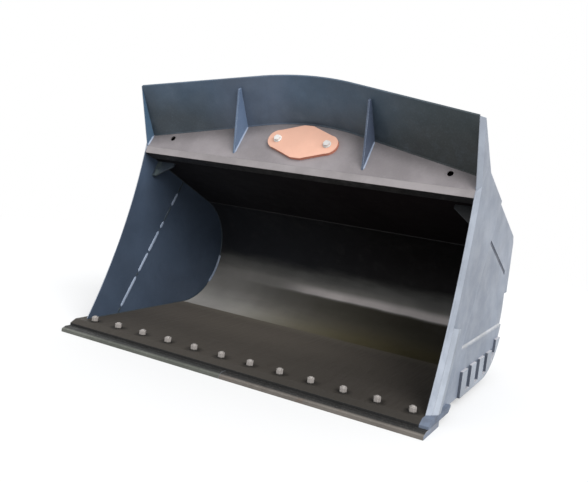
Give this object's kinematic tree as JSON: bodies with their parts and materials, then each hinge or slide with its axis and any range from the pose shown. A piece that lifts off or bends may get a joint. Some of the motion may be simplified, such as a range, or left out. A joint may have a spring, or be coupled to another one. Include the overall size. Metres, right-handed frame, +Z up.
{
  "type": "loader bucket",
  "caption": "Welded plate bucket for a wheel loader: rolled bowl, bolt-on cutting edge, sloped shelf, bent spill guard and hinge ears at the back.",
  "frame": {"origin": "centre of the footprint, on the ground plane that the bolt-on edge and the skids rest on", "axes": "+X to the right as seen by someone who faces the open mouth, +Y to the back, from the mouth towards the hinge ears, +Z up"},
  "size_m": [3.054, 2.2, 2.2364],
  "materials": {
    "blue_paint": "blue-grey paint, satin, scuffed",
    "pale_paint": "pale blue-grey paint on the outer faces",
    "worn_floor": "dark brown worn plate",
    "bowl_grey": "dark grey paint with a soft sheen",
    "edge_steel": "hardened plate, weathered",
    "orange_paint": "orange-red primer, satin",
    "zinc": "zinc plated"
  },
  "bodies": {
    "root": {"base_edge": "worn_floor", "floor_plate": "worn_floor", "wrapper": "bowl_grey", "roof_plate": "bowl_grey", "lip_bar": "blue_paint", "left_side_plate": "pale_paint", "right_side_plate": "pale_paint", "left_side_cutter": "blue_paint", "right_side_cutter": "blue_paint", "left_end_plate": "blue_paint", "right_end_plate": "blue_paint", "left_corner_guard": "edge_steel", "right_corner_guard": "edge_steel", "shelf_plate": "blue_paint", "spill_guard": "blue_paint", "left_shelf_gusset": "blue_paint", "right_shelf_gusset": "blue_paint", "cover_plate": "orange_paint", "cover_bolts": "zinc", "box_skin": "blue_paint", "left_box_rib": "bowl_grey", "centre_box_rib": "bowl_grey", "right_box_rib": "bowl_grey", "left_lip_gusset": "blue_paint", "right_lip_gusset": "blue_paint", "left_edge_section": "edge_steel", "right_edge_section": "edge_steel", "plough_bolts": "zinc", "edge_washers": "zinc", "edge_nuts": "zinc", "left_wear_plate": "edge_steel", "right_wear_plate": "edge_steel", "left_heel_guard": "edge_steel", "right_heel_guard": "edge_steel", "left_corner_skid": "edge_steel", "right_corner_skid": "edge_steel", "floor_skids": "edge_steel", "left_ear_pad": "pale_paint", "right_ear_pad": "pale_paint", "left_lift_ear_outer": "pale_paint", "left_lift_ear_inner": "pale_paint", "right_lift_ear_inner": "pale_paint", "right_lift_ear_outer": "pale_paint", "left_lift_bosses": "pale_paint", "right_lift_bosses": "pale_paint", "left_tilt_ear": "pale_paint", "right_tilt_ear": "pale_paint", "tilt_bosses": "pale_paint", "left_rear_brace": "blue_paint", "centre_rear_brace": "blue_paint", "right_rear_brace": "blue_paint"}
  },
  "joints": []
}
